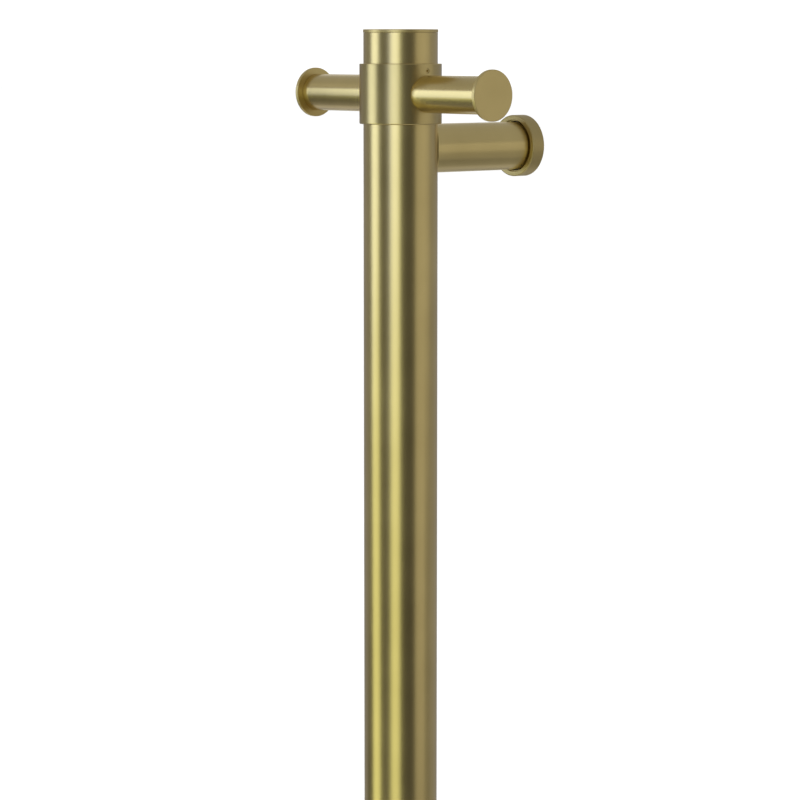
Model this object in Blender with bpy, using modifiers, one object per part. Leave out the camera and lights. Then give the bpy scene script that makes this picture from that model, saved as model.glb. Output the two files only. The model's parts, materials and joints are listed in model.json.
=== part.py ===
"""A vertical single-bar towel warmer with a cross-shaped hook that drops over its top.

Frame: metres, +Z up. The origin is the centre of the upper wall boss's back face.
The wall is the plane Y = 0, and the rail stands in front of it, towards -Y.
"""

import math

import bmesh
import bpy
from mathutils import Vector

MM = 0.001

# Clearances between neighbours
TOUCH_GAP = 0.3 * MM
FACE_GAP = 0.1 * MM

# Rail: a 1.5 inch stainless tube, closed by a cap at each end
RAIL_HEIGHT = 900 * MM
RAIL_RADIUS = 19.05 * MM
RAIL_WALL = 1.5 * MM
RAIL_TO_WALL = 86 * MM
RAIL_TOP = 61 * MM
RAIL_BOTTOM = RAIL_TOP - RAIL_HEIGHT
RAIL_BORE = RAIL_RADIUS - RAIL_WALL

# End caps
CAP_RADIUS = 19.2 * MM
CAP_RIM = 1.6 * MM
CAP_EDGE = 0.3 * MM
CAP_SPIGOT_RADIUS = RAIL_BORE - 0.35 * MM
CAP_SPIGOT_LENGTH = 9 * MM
CAP_SPIGOT_WALL = 3.5 * MM
CAP_GROOVE_DEPTH = 1.5 * MM
CAP_GROOVE_WIDTH = 2.4 * MM
CAP_GROOVE_DOWN = 4.4 * MM

# Hook: a sleeve with two arms, resting on the upper post
COLLAR_RADIUS = 21.1 * MM
COLLAR_HEIGHT = 30.6 * MM
COLLAR_EDGE = 0.3 * MM
COLLAR_BORE = 19.55 * MM
COLLAR_RECESS_RADIUS = 20.1 * MM
COLLAR_RING = 6 * MM
COLLAR_LIP = 1.2 * MM
LINER_RADIUS = 19.85 * MM
LINER_BORE = 19.35 * MM
LOCK_SCREW_RADIUS = 1.25 * MM
LOCK_SCREW_SOCKET = 1.5 * MM
LOCK_SCREW_DOWN = 3.6 * MM
LOCK_SCREW_INNER = 19.3 * MM
LOCK_SCREW_OUTER = 20.9 * MM
HOOK_WIDTH = 142 * MM
ARM_RADIUS = 9.5 * MM
ARM_BORE = 8 * MM
DISC_RADIUS = 12.85 * MM
DISC_THICKNESS = 2 * MM
DISC_EDGE = 0.4 * MM
DISC_SPIGOT_RADIUS = 7.7 * MM
DISC_SPIGOT_LENGTH = 8 * MM

# Posts that hold the rail off the wall
POST_RADIUS = 12.7 * MM
POST_BORE = 11.2 * MM
POST_INSET = RAIL_TOP
POST_WEB = 5.65 * MM
LOWER_POST_Z = RAIL_BOTTOM + POST_INSET

# Wall bosses
BOSS_RADIUS = 15 * MM
BOSS_BASE = 3 * MM
BOSS_SPIGOT_RADIUS = POST_BORE - TOUCH_GAP
BOSS_SPIGOT_BORE = 9.3 * MM
BOSS_LENGTH = 20 * MM
WALL_SCREW_HOLE = 2.1 * MM
WALL_SCREW_HEAD = 3.5 * MM
WALL_SCREW_X = 5.4 * MM
WALL_SCREW_Z = 1.8 * MM
LEAD_HOLE_RADIUS = 2.9 * MM
LEAD_HOLE_Z = -5.6 * MM

# Cover rings that slide on the posts and hide the bosses
COVER_RADIUS = 16.2 * MM
COVER_DEPTH = 8 * MM
COVER_EDGE = 0.5 * MM
COVER_CAVITY_RADIUS = BOSS_RADIUS + TOUCH_GAP
COVER_CAVITY_DEPTH = 3.6 * MM
COVER_BORE = 12.95 * MM
COVER_MOUTH_RADIUS = 13.5 * MM
COVER_MOUTH_DEPTH = 1.5 * MM
COVER_GROOVE_RADIUS = 14.5 * MM
COVER_GROOVE_FROM = 4.2 * MM
COVER_GROOVE_TO = 5.8 * MM

# Fasteners
SCREW_RADIUS = 2 * MM
SCREW_HOLE = SCREW_RADIUS + TOUCH_GAP
SCREW_HEAD_RADIUS = 3.5 * MM
SCREW_HEAD = 4 * MM
SCREW_SOCKET = 3.4 * MM
SCREW_LENGTH = 14 * MM
SCREW_OFFSET = 7 * MM
GRUB_FROM_WALL = 13 * MM
GRUB_INNER = 9.5 * MM
GRUB_OUTER = 12.5 * MM
GRUB_SOCKET = 2.3 * MM
NUT_PLATE_THICKNESS = 3 * MM
NUT_PLATE_WIDTH = 18 * MM
NUT_PLATE_HEIGHT = 24 * MM

# Seals
O_RING_RADIUS = 0.75 * MM

# Heating element and its lead, inside the rail
PLATE_WIDTH = 34.2 * MM
PLATE_THICKNESS = 1.5 * MM
PLATE_TOP = 30 * MM
PLATE_BOTTOM = -715 * MM
CABLE_RADIUS = 2.25 * MM
CABLE_RUN_X = 7 * MM
CABLE_RUN_FRONT = PLATE_THICKNESS / 2 + CABLE_RADIUS + TOUCH_GAP
CABLE_TOP = 27 * MM
CABLE_END_X = 2.6 * MM
CABLE_END_FRONT = 3.3 * MM
CLIP_HEIGHT = 10 * MM
CLIP_HALF_WIDTH = 12 * MM
CLIP_LEG = 1.8 * MM
CLIP_STRAP = 1 * MM
CLIP_LEVELS = (-20 * MM, -240 * MM, -460 * MM, -680 * MM)
JOINT_RADIUS = 5.6 * MM
JOINT_TOP = -726 * MM
JOINT_BOTTOM = -750 * MM
JOINT_FRONT = 1.5 * MM
LEAD_RADIUS = 2 * MM
BUSH_RADIUS = 3 * MM
BUSH_BORE = 2.3 * MM
BUSH_HOLE = BUSH_RADIUS + TOUCH_GAP
BUSH_FLANGE_RADIUS = 4.4 * MM
BUSH_FLANGE = 1.2 * MM
GROMMET_FLANGE = 1 * MM
CUTOUT_SIZE = (8 * MM, 5 * MM, 18 * MM)
CUTOUT_EDGE = 0.8 * MM
CUTOUT_Z = -690 * MM
CUTOUT_LEAD_RADIUS = 0.8 * MM
CUTOUT_LEAD_X = 2 * MM
CUTOUT_LEAD_BACK = 1.9 * MM
SPRING_SPAN = 70 * MM
SPRING_RISE = 14.5 * MM
SPRING_WIDTH = 8 * MM
SPRING_THICKNESS = 0.5 * MM
SPRING_LEVELS = (-120 * MM, -560 * MM)

# Sides of the round pieces
SIDES_LARGE = 36
SIDES_MEDIUM = 30
SIDES_SMALL = 20
SIDES_SCREW = 12
TORUS_SIDES = 6
HEXAGON = 6

MERGE = 0.00001
EMPTY_SIZE = 10 * MM
UPRIGHT = (0, 0, 0)
UPSIDE_DOWN = (math.pi, 0, 0)
FROM_WALL = (math.pi / 2, 0, 0)
TO_RIGHT = (0, math.pi / 2, 0)
TO_LEFT = (0, -math.pi / 2, 0)


def clear_scene():
    for obj in list(bpy.data.objects):
        bpy.data.objects.remove(obj, do_unlink=True)


def new_collection(name):
    collection = bpy.data.collections.new(name)
    bpy.context.scene.collection.children.link(collection)
    return collection


def principled(name, colour, roughness, metallic=0.0):
    material = bpy.data.materials.new(name)
    material.use_nodes = True
    shader = material.node_tree.nodes["Principled BSDF"]
    shader.inputs["Base Color"].default_value = (*colour, 1.0)
    shader.inputs["Roughness"].default_value = roughness
    shader.inputs["Metallic"].default_value = metallic
    material.diffuse_color = (*colour, 1.0)
    return material


clear_scene()
PARTS = new_collection("towel_warmer")
CUTTERS = new_collection("cutters")

BRASS = principled("brushed_brass", (0.52, 0.42, 0.20), 0.28, 1.0)
STEEL = principled("zinc_steel", (0.62, 0.62, 0.60), 0.35, 1.0)
ALUMINIUM = principled("aluminium", (0.78, 0.78, 0.79), 0.4, 1.0)
NYLON = principled("nylon", (0.82, 0.80, 0.74), 0.5)
RUBBER = principled("black_rubber", (0.03, 0.03, 0.03), 0.7)
SILICONE = principled("heating_silicone", (0.55, 0.12, 0.08), 0.55)
PVC = principled("lead_pvc", (0.06, 0.06, 0.065), 0.5)


def empty(name, location, parent=None):
    obj = bpy.data.objects.new(name, None)
    obj.empty_display_size = EMPTY_SIZE
    obj.location = location
    obj.parent = parent
    PARTS.objects.link(obj)
    return obj


def move_to(obj, collection):
    for owner in list(obj.users_collection):
        owner.objects.unlink(obj)
    collection.objects.link(obj)


def finish(obj, material):
    """Puts a part in the object's collection with its material, smooth but for its sharp edges."""
    move_to(obj, PARTS)
    obj.data.materials.clear()
    obj.data.materials.append(material)
    if obj.type == "MESH":
        obj.data.shade_smooth()
        obj.data.set_sharp_from_angle(angle=math.radians(30))
    return obj


def as_cutter(obj):
    move_to(obj, CUTTERS)
    obj.hide_render = True
    obj.display_type = "WIRE"
    return obj


def turned(name, profile, sides, location=(0, 0, 0), rotation=UPRIGHT, parent=None, ring=False):
    """A lathe shape about local Z. The profile is (radius, height) pairs, down the outer side."""
    mesh = bpy.data.meshes.new(name)
    points = [(radius, 0, height) for radius, height in profile]
    edges = [(i, i + 1) for i in range(len(points) - 1)]
    if ring:
        edges.append((len(points) - 1, 0))
    mesh.from_pydata(points, edges, [])
    obj = bpy.data.objects.new(name, mesh)
    obj.location = location
    obj.rotation_euler = rotation
    obj.parent = parent
    PARTS.objects.link(obj)
    screw = obj.modifiers.new("Turn", "SCREW")
    screw.steps = sides
    screw.render_steps = sides
    screw.use_merge_vertices = True
    screw.merge_threshold = MERGE
    screw.use_smooth_shade = True
    return obj


def cylinder(name, radius, start, end, sides, parent=None):
    """A solid round bar between two points of the parent's frame."""
    start, end = Vector(start), Vector(end)
    bpy.ops.mesh.primitive_cylinder_add(vertices=sides, radius=radius, depth=(end - start).length)
    obj = bpy.context.object
    obj.name = name
    obj.location = (start + end) / 2
    obj.rotation_mode = "QUATERNION"
    obj.rotation_quaternion = Vector((0, 0, 1)).rotation_difference(end - start)
    obj.parent = parent
    return obj


def box(name, size, centre, parent=None):
    """A cuboid of the given side lengths, with its scale applied."""
    mesh = bpy.data.meshes.new(name)
    shape = bmesh.new()
    bmesh.ops.create_cube(shape, size=1.0)
    bmesh.ops.scale(shape, vec=size, verts=shape.verts)
    shape.to_mesh(mesh)
    shape.free()
    obj = bpy.data.objects.new(name, mesh)
    obj.location = centre
    obj.parent = parent
    PARTS.objects.link(obj)
    return obj


def boolean(target, other, operation="DIFFERENCE"):
    modifier = target.modifiers.new(other.name, "BOOLEAN")
    modifier.operation = operation
    modifier.object = other
    modifier.solver = "EXACT"


def drill(target, name, radius, start, end, sides=SIDES_SCREW, parent=None):
    boolean(target, as_cutter(cylinder(name, radius, start, end, sides, parent)))


def hex_socket(target, mount, name, across_corners, start, end):
    boolean(target, as_cutter(cylinder(name, across_corners / 2, start, end, HEXAGON, mount)))


def o_ring(name, major_radius, location, rotation, parent):
    bpy.ops.mesh.primitive_torus_add(
        major_radius=major_radius,
        minor_radius=O_RING_RADIUS,
        major_segments=SIDES_MEDIUM,
        minor_segments=TORUS_SIDES,
    )
    obj = bpy.context.object
    obj.name = name
    obj.location = location
    obj.rotation_euler = rotation
    obj.parent = parent
    return finish(obj, RUBBER)


def flexible(name, points, radius, material, parent=None):
    """A cord along a smooth curve through the points, with a flat cap on each end."""
    guide = smooth_points([Vector(p) for p in points])
    curve = bpy.data.curves.new(name, "CURVE")
    curve.dimensions = "3D"
    curve.bevel_depth = radius
    curve.bevel_resolution = 2
    curve.use_fill_caps = True
    spline = curve.splines.new("POLY")
    spline.points.add(len(guide) - 1)
    for point, place in zip(spline.points, guide):
        point.co = (*place, 1.0)
    obj = bpy.data.objects.new(name, curve)
    obj.parent = parent
    PARTS.objects.link(obj)
    return finish(obj, material)


def smooth_points(knots, steps=4):
    """Catmull-Rom points through the knots. A stretch between far knots stays straight."""
    found = [knots[0]]
    padded = [knots[0] * 2 - knots[1], *knots, knots[-1] * 2 - knots[-2]]
    for before, start, end, after in zip(padded, padded[1:], padded[2:], padded[3:]):
        length = (end - start).length
        leave = (end - before).normalized() * length
        arrive = (after - start).normalized() * length
        for step in range(1, steps + 1):
            t = step / steps
            found.append(
                start * (2 * t**3 - 3 * t**2 + 1)
                + leave * (t**3 - 2 * t**2 + t)
                + end * (3 * t**2 - 2 * t**3)
                + arrive * (t**3 - t**2)
            )
    return found


# ---------------------------------------------------------------- rail and caps


def make_rail(rail):
    end_gap = CAP_RIM + TOUCH_GAP
    top = RAIL_TOP - end_gap
    bottom = RAIL_BOTTOM + end_gap
    profile = [(RAIL_RADIUS, top), (RAIL_RADIUS, bottom), (RAIL_BORE, bottom), (RAIL_BORE, top)]
    tube = turned("rail_tube", profile, SIDES_LARGE, parent=rail, ring=True)
    for label, level in (("upper", 0), ("lower", LOWER_POST_Z)):
        for side in (-1, 1):
            height = level + side * SCREW_OFFSET
            drill(
                tube,
                f"rail_{label}_screw_hole_{side}",
                SCREW_HOLE,
                (0, RAIL_BORE / 2, height),
                (0, RAIL_RADIUS * 2, height),
                parent=rail,
            )
    drill(
        tube,
        "rail_lead_hole",
        BUSH_HOLE,
        (0, RAIL_BORE / 2, LOWER_POST_Z),
        (0, RAIL_RADIUS * 2, LOWER_POST_Z),
        parent=rail,
    )
    finish(tube, BRASS)


def make_cap(rail, label, height, rotation):
    """An end cap: a thin rim on the tube's end and a hollow spigot inside it, with a seal."""
    groove_top = -CAP_GROOVE_DOWN
    groove_bottom = groove_top - CAP_GROOVE_WIDTH
    groove_radius = CAP_SPIGOT_RADIUS - CAP_GROOVE_DEPTH
    end = -CAP_RIM - CAP_SPIGOT_LENGTH
    hollow = CAP_SPIGOT_RADIUS - CAP_SPIGOT_WALL
    profile = [
        (0, 0),
        (CAP_RADIUS - CAP_EDGE, 0),
        (CAP_RADIUS, -CAP_EDGE),
        (CAP_RADIUS, -CAP_RIM),
        (CAP_SPIGOT_RADIUS, -CAP_RIM),
        (CAP_SPIGOT_RADIUS, groove_top),
        (groove_radius, groove_top),
        (groove_radius, groove_bottom),
        (CAP_SPIGOT_RADIUS, groove_bottom),
        (CAP_SPIGOT_RADIUS, end),
        (hollow, end),
        (hollow, -2 * CAP_RIM),
        (0, -2 * CAP_RIM),
    ]
    place = (0, 0, height)
    finish(turned(f"{label}_cap", profile, SIDES_LARGE, place, rotation, rail), BRASS)
    inward = 1 if rotation == UPRIGHT else -1
    middle = height + inward * (groove_top + groove_bottom) / 2
    seal_radius = groove_radius + O_RING_RADIUS + FACE_GAP
    o_ring(f"{label}_cap_o_ring", seal_radius, (0, 0, middle), UPRIGHT, rail)


# ---------------------------------------------------------------- hook


def make_hook(hook):
    """The sleeve, its liner and its two arms, about the hook's own origin on the rail's axis."""
    make_collar(hook)
    make_lock_screw(hook)
    for label, rotation in (("right", TO_RIGHT), ("left", TO_LEFT)):
        make_arm(hook, label, rotation)


def make_collar(hook):
    """A sleeve with a thick ring at the top, recessed below it for the liner."""
    half = COLLAR_HEIGHT / 2
    recess_top = half - COLLAR_RING
    recess_bottom = COLLAR_LIP - half
    collar_profile = [
        (COLLAR_BORE, half),
        (COLLAR_RADIUS - COLLAR_EDGE, half),
        (COLLAR_RADIUS, half - COLLAR_EDGE),
        (COLLAR_RADIUS, -half + COLLAR_EDGE),
        (COLLAR_RADIUS - COLLAR_EDGE, -half),
        (COLLAR_BORE, -half),
        (COLLAR_BORE, recess_bottom),
        (COLLAR_RECESS_RADIUS, recess_bottom),
        (COLLAR_RECESS_RADIUS, recess_top),
        (COLLAR_BORE, recess_top),
    ]
    collar = turned("hook_collar", collar_profile, SIDES_LARGE, parent=hook, ring=True)
    height = half - LOCK_SCREW_DOWN
    drill(
        collar,
        "hook_collar_screw_hole",
        LOCK_SCREW_RADIUS + TOUCH_GAP,
        (COLLAR_RADIUS / 2, 0, height),
        (COLLAR_RADIUS * 2, 0, height),
        parent=hook,
    )
    finish(collar, BRASS)
    top = recess_top - TOUCH_GAP
    bottom = recess_bottom + TOUCH_GAP
    liner_profile = [(LINER_RADIUS, top), (LINER_RADIUS, bottom), (LINER_BORE, bottom), (LINER_BORE, top)]
    finish(turned("hook_liner", liner_profile, SIDES_LARGE, parent=hook, ring=True), NYLON)


def make_lock_screw(hook):
    """The set screw above the right arm that holds the hook at its height."""
    height = COLLAR_HEIGHT / 2 - LOCK_SCREW_DOWN
    inner, outer = (LOCK_SCREW_INNER, 0, height), (LOCK_SCREW_OUTER, 0, height)
    screw = cylinder("hook_lock_screw", LOCK_SCREW_RADIUS, inner, outer, SIDES_SCREW, hook)
    socket_end = ((LOCK_SCREW_INNER + LOCK_SCREW_OUTER) / 2, 0, height)
    outside = (COLLAR_RADIUS * 2, 0, height)
    hex_socket(screw, hook, "hook_lock_screw_socket", LOCK_SCREW_SOCKET, socket_end, outside)
    finish(screw, BRASS)


def make_arm(hook, label, rotation):
    reach = HOOK_WIDTH / 2
    disc_back = reach - DISC_THICKNESS
    arm_end = disc_back - FACE_GAP
    arm_start = COLLAR_RADIUS / 2
    arm_profile = [
        (ARM_RADIUS, arm_end),
        (ARM_RADIUS, arm_start),
        (ARM_BORE, arm_start),
        (ARM_BORE, arm_end),
    ]
    arm = turned(f"hook_arm_{label}", arm_profile, SIDES_MEDIUM, (0, 0, 0), rotation, hook, ring=True)
    saddle = cylinder(
        f"hook_arm_{label}_saddle",
        COLLAR_RADIUS + TOUCH_GAP,
        (0, 0, -COLLAR_HEIGHT),
        (0, 0, COLLAR_HEIGHT),
        SIDES_LARGE,
        hook,
    )
    boolean(arm, as_cutter(saddle))
    finish(arm, BRASS)
    disc_profile = [
        (0, reach),
        (DISC_RADIUS - DISC_EDGE, reach),
        (DISC_RADIUS, reach - DISC_EDGE),
        (DISC_RADIUS, disc_back + DISC_EDGE),
        (DISC_RADIUS - DISC_EDGE, disc_back),
        (DISC_SPIGOT_RADIUS, disc_back),
        (DISC_SPIGOT_RADIUS, disc_back - DISC_SPIGOT_LENGTH),
        (0, disc_back - DISC_SPIGOT_LENGTH),
    ]
    finish(turned(f"hook_disc_{label}", disc_profile, SIDES_MEDIUM, (0, 0, 0), rotation, hook), BRASS)


# ---------------------------------------------------------------- wall mountings


def make_mounting(mount, label):
    """One post with its boss, cover ring, screws and nut plate. Local Y = 0 is the wall."""
    make_post(mount, label)
    make_boss(mount, label)
    make_cover(mount, label)
    make_nut_plate(mount, label)
    for place, side in (("top", 1), ("bottom", -1)):
        make_post_screw(mount, f"{label}_post_screw_{place}", side * SCREW_OFFSET)
    make_grub_screw(mount, f"{label}_grub_screw")


def grub_hole(target, mount, name):
    drill(
        target,
        name,
        SCREW_HOLE,
        (0, -GRUB_FROM_WALL, -BOSS_SPIGOT_BORE / 2),
        (0, -GRUB_FROM_WALL, -POST_RADIUS * 2),
        parent=mount,
    )


def make_post(mount, label):
    """A bar bored from its wall end, with a web at the rail end that is cut to the rail's curve."""
    wall_end = BOSS_BASE + TOUCH_GAP
    rail_surface = RAIL_TO_WALL - RAIL_RADIUS - TOUCH_GAP
    web_face = rail_surface - POST_WEB
    blank_end = RAIL_TO_WALL - RAIL_RADIUS / 2
    profile = [
        (0, blank_end),
        (POST_RADIUS, blank_end),
        (POST_RADIUS, wall_end),
        (POST_BORE, wall_end),
        (POST_BORE, web_face),
        (0, web_face),
    ]
    post = turned(f"{label}_post", profile, SIDES_MEDIUM, (0, 0, 0), FROM_WALL, mount)
    saddle = cylinder(
        f"{label}_post_saddle",
        RAIL_RADIUS + TOUCH_GAP,
        (0, -RAIL_TO_WALL, -POST_RADIUS * 2),
        (0, -RAIL_TO_WALL, POST_RADIUS * 2),
        SIDES_LARGE,
        mount,
    )
    boolean(post, as_cutter(saddle))
    before_web = -web_face + POST_WEB
    past_web = -RAIL_TO_WALL
    for side in (-1, 1):
        height = side * SCREW_OFFSET
        name = f"{label}_post_screw_hole_{side}"
        drill(post, name, SCREW_HOLE, (0, before_web, height), (0, past_web, height), parent=mount)
    drill(post, f"{label}_post_lead_hole", BUSH_HOLE, (0, before_web, 0), (0, past_web, 0), parent=mount)
    grub_hole(post, mount, f"{label}_post_grub_hole")
    finish(post, BRASS)


def make_boss(mount, label):
    """A base disc against the wall with a hollow spigot, held by two countersunk wall screws."""
    profile = [
        (0, BOSS_BASE),
        (BOSS_SPIGOT_BORE, BOSS_BASE),
        (BOSS_SPIGOT_BORE, BOSS_LENGTH),
        (BOSS_SPIGOT_RADIUS, BOSS_LENGTH),
        (BOSS_SPIGOT_RADIUS, BOSS_BASE),
        (BOSS_RADIUS, BOSS_BASE),
        (BOSS_RADIUS, 0),
        (0, 0),
    ]
    boss = turned(f"{label}_wall_boss", profile, SIDES_MEDIUM, (0, 0, 0), FROM_WALL, mount)
    sink_depth = WALL_SCREW_HEAD - WALL_SCREW_HOLE
    over = 1 * MM
    for side in (-1, 1):
        x = side * WALL_SCREW_X
        start, end = (x, over, WALL_SCREW_Z), (x, -BOSS_BASE - over, WALL_SCREW_Z)
        drill(boss, f"{label}_boss_screw_hole_{side}", WALL_SCREW_HOLE, start, end, parent=mount)
        bpy.ops.mesh.primitive_cone_add(
            vertices=SIDES_SCREW,
            radius1=WALL_SCREW_HOLE,
            radius2=WALL_SCREW_HEAD + over,
            depth=sink_depth + over,
        )
        sink = bpy.context.object
        sink.name = f"{label}_boss_countersink_{side}"
        sink.location = (x, -BOSS_BASE + (sink_depth - over) / 2, WALL_SCREW_Z)
        sink.rotation_euler = FROM_WALL
        sink.parent = mount
        boolean(boss, as_cutter(sink))
    lead_start, lead_end = (0, over, LEAD_HOLE_Z), (0, -BOSS_BASE - over, LEAD_HOLE_Z)
    drill(boss, f"{label}_boss_lead_hole", LEAD_HOLE_RADIUS, lead_start, lead_end, parent=mount)
    grub_hole(boss, mount, f"{label}_boss_grub_hole")
    finish(boss, STEEL)


def make_cover(mount, label):
    """A deep ring over the boss. Its bore runs on the post and holds an O-ring that grips it.

    A wider mouth in front of the bore leaves a shadow gap around the post.
    """
    profile = [
        (COVER_MOUTH_RADIUS, COVER_DEPTH),
        (COVER_RADIUS - COVER_EDGE, COVER_DEPTH),
        (COVER_RADIUS, COVER_DEPTH - COVER_EDGE),
        (COVER_RADIUS, TOUCH_GAP),
        (COVER_CAVITY_RADIUS, TOUCH_GAP),
        (COVER_CAVITY_RADIUS, COVER_CAVITY_DEPTH),
        (COVER_BORE, COVER_CAVITY_DEPTH),
        (COVER_BORE, COVER_GROOVE_FROM),
        (COVER_GROOVE_RADIUS, COVER_GROOVE_FROM),
        (COVER_GROOVE_RADIUS, COVER_GROOVE_TO),
        (COVER_BORE, COVER_GROOVE_TO),
        (COVER_BORE, COVER_DEPTH - COVER_MOUTH_DEPTH),
        (COVER_MOUTH_RADIUS, COVER_DEPTH - COVER_MOUTH_DEPTH),
    ]
    ring = turned(f"{label}_cover_ring", profile, SIDES_MEDIUM, (0, 0, 0), FROM_WALL, mount, ring=True)
    finish(ring, BRASS)
    seal_radius = COVER_GROOVE_RADIUS - O_RING_RADIUS - FACE_GAP
    middle = (COVER_GROOVE_FROM + COVER_GROOVE_TO) / 2
    o_ring(f"{label}_cover_o_ring", seal_radius, (0, -middle, 0), FROM_WALL, mount)


def make_nut_plate(mount, label):
    """A curved plate inside the rail, tapped for the two post screws."""
    outer = RAIL_BORE - TOUCH_GAP
    inner = outer - NUT_PLATE_THICKNESS
    half = NUT_PLATE_HEIGHT / 2
    profile = [(outer, half), (outer, -half), (inner, -half), (inner, half)]
    rail_axis = (0, -RAIL_TO_WALL, 0)
    plate = turned(f"{label}_nut_plate", profile, SIDES_LARGE, rail_axis, UPRIGHT, mount, ring=True)
    window = box(
        f"{label}_nut_plate_window",
        (NUT_PLATE_WIDTH, RAIL_RADIUS, NUT_PLATE_HEIGHT * 2),
        (0, -RAIL_TO_WALL + RAIL_RADIUS / 2 + inner / 2, 0),
        mount,
    )
    boolean(plate, as_cutter(window), "INTERSECT")
    back = -RAIL_TO_WALL + RAIL_RADIUS
    front = -RAIL_TO_WALL + inner / 2
    for side in (-1, 1):
        height = side * SCREW_OFFSET
        name = f"{label}_nut_plate_hole_{side}"
        drill(plate, name, SCREW_HOLE, (0, back, height), (0, front, height), parent=mount)
    drill(plate, f"{label}_nut_plate_lead_hole", BUSH_HOLE, (0, back, 0), (0, front, 0), parent=mount)
    finish(plate, STEEL)


def make_post_screw(mount, name, height):
    """A socket cap screw, its head on the post's web and its thread in the nut plate."""
    rail_surface = RAIL_TO_WALL - RAIL_RADIUS - TOUCH_GAP
    under_head = rail_surface - POST_WEB - FACE_GAP
    head_top = under_head - SCREW_HEAD
    profile = [
        (0, under_head + SCREW_LENGTH),
        (SCREW_RADIUS, under_head + SCREW_LENGTH),
        (SCREW_RADIUS, under_head),
        (SCREW_HEAD_RADIUS, under_head),
        (SCREW_HEAD_RADIUS, head_top),
        (0, head_top),
    ]
    screw = turned(name, profile, SIDES_SCREW, (0, 0, height), FROM_WALL, mount)
    socket_depth = SCREW_HEAD / 2
    start, end = (0, -head_top + socket_depth, height), (0, -head_top - socket_depth, height)
    hex_socket(screw, mount, f"{name}_socket", SCREW_SOCKET, start, end)
    finish(screw, STEEL)


def make_grub_screw(mount, name):
    """The set screw under the post that locks it to the boss."""
    inner, outer = (0, -GRUB_FROM_WALL, -GRUB_INNER), (0, -GRUB_FROM_WALL, -GRUB_OUTER)
    screw = cylinder(name, SCREW_RADIUS, inner, outer, SIDES_SCREW, mount)
    depth = (GRUB_OUTER - GRUB_INNER) / 2
    start = (0, -GRUB_FROM_WALL, -GRUB_OUTER + depth)
    end = (0, -GRUB_FROM_WALL, -GRUB_OUTER - depth)
    hex_socket(screw, mount, f"{name}_socket", GRUB_SOCKET, start, end)
    finish(screw, STEEL)


# ---------------------------------------------------------------- heating element


def make_element(rail):
    """The heating cable on its aluminium plate, about the rail's axis. Local -Y is the front."""
    height = PLATE_TOP - PLATE_BOTTOM
    centre = (0, 0, (PLATE_TOP + PLATE_BOTTOM) / 2)
    finish(box("heat_spreader_plate", (PLATE_WIDTH, PLATE_THICKNESS, height), centre, rail), ALUMINIUM)
    flexible("heating_cable", heating_route(), CABLE_RADIUS, SILICONE, rail)
    for number, level in enumerate(CLIP_LEVELS, 1):
        make_cable_clip(rail, f"cable_clip_{number}", level)
    for number, level in enumerate(SPRING_LEVELS, 1):
        make_plate_spring(rail, f"plate_spring_{number}", level)
    make_lead_joint(rail)
    make_cutout(rail)


def heating_route():
    """Up one side of the plate and down the other, with both ends meeting at the lead joint."""
    bend = CABLE_TOP - CABLE_RUN_X
    straight = 20 * MM
    out_of_joint = 5 * MM
    spread = JOINT_TOP + 22 * MM
    settled = JOINT_TOP + 35 * MM
    side = [
        (CABLE_END_X, -CABLE_END_FRONT, JOINT_TOP + FACE_GAP),
        (CABLE_END_X, -CABLE_END_FRONT, JOINT_TOP + out_of_joint),
        (CABLE_RUN_X, -CABLE_RUN_FRONT, spread),
        (CABLE_RUN_X, -CABLE_RUN_FRONT, settled),
        (CABLE_RUN_X, -CABLE_RUN_FRONT, bend - straight),
        (CABLE_RUN_X, -CABLE_RUN_FRONT, bend),
    ]
    turn = [
        (
            CABLE_RUN_X * math.cos(angle),
            -CABLE_RUN_FRONT,
            bend + CABLE_RUN_X * math.sin(angle),
        )
        for angle in (math.pi / 4, math.pi / 2, 3 * math.pi / 4)
    ]
    other_side = [(-x, y, z) for x, y, z in reversed(side)]
    return side + turn + other_side


def make_cable_clip(rail, name, level):
    """A comb-shaped clip: a strap in front of both runs of cable, with a leg beside each."""
    legs = -PLATE_THICKNESS / 2 - TOUCH_GAP
    strap_back = -CABLE_RUN_FRONT - CABLE_RADIUS - TOUCH_GAP
    strap_front = strap_back - CLIP_STRAP
    outer, leg = CLIP_HALF_WIDTH, CLIP_LEG
    half_leg = leg / 2
    right = [
        (half_leg, legs),
        (half_leg, strap_back),
        (outer - leg, strap_back),
        (outer - leg, legs),
        (outer, legs),
        (outer, strap_front),
    ]
    outline = right + [(-x, y) for x, y in reversed(right)]
    curve = bpy.data.curves.new(name, "CURVE")
    curve.dimensions = "2D"
    curve.fill_mode = "BOTH"
    curve.extrude = CLIP_HEIGHT / 2
    spline = curve.splines.new("POLY")
    spline.points.add(len(outline) - 1)
    for point, (x, y) in zip(spline.points, outline):
        point.co = (x, y, 0, 1)
    spline.use_cyclic_u = True
    obj = bpy.data.objects.new(name, curve)
    obj.location = (0, 0, level)
    obj.parent = rail
    PARTS.objects.link(obj)
    finish(obj, NYLON)


def make_plate_spring(rail, name, level):
    """A bowed leaf spring behind the plate, pressing against the back of the tube."""
    rows = 12
    start = PLATE_THICKNESS / 2 + TOUCH_GAP + SPRING_THICKNESS
    shape = bmesh.new()
    pairs = []
    for row in range(rows + 1):
        along = row / rows
        height = level + (along - 0.5) * SPRING_SPAN
        out = start + (SPRING_RISE - start) * math.sin(math.pi * along) ** 2
        pairs.append([shape.verts.new((side * SPRING_WIDTH / 2, out, height)) for side in (-1, 1)])
    for (a, b), (c, d) in zip(pairs, pairs[1:]):
        shape.faces.new((a, b, d, c))
    mesh = bpy.data.meshes.new(name)
    shape.to_mesh(mesh)
    shape.free()
    obj = bpy.data.objects.new(name, mesh)
    obj.parent = rail
    PARTS.objects.link(obj)
    solid = obj.modifiers.new("Thickness", "SOLIDIFY")
    solid.thickness = SPRING_THICKNESS
    solid.offset = 0
    finish(obj, STEEL)


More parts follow.
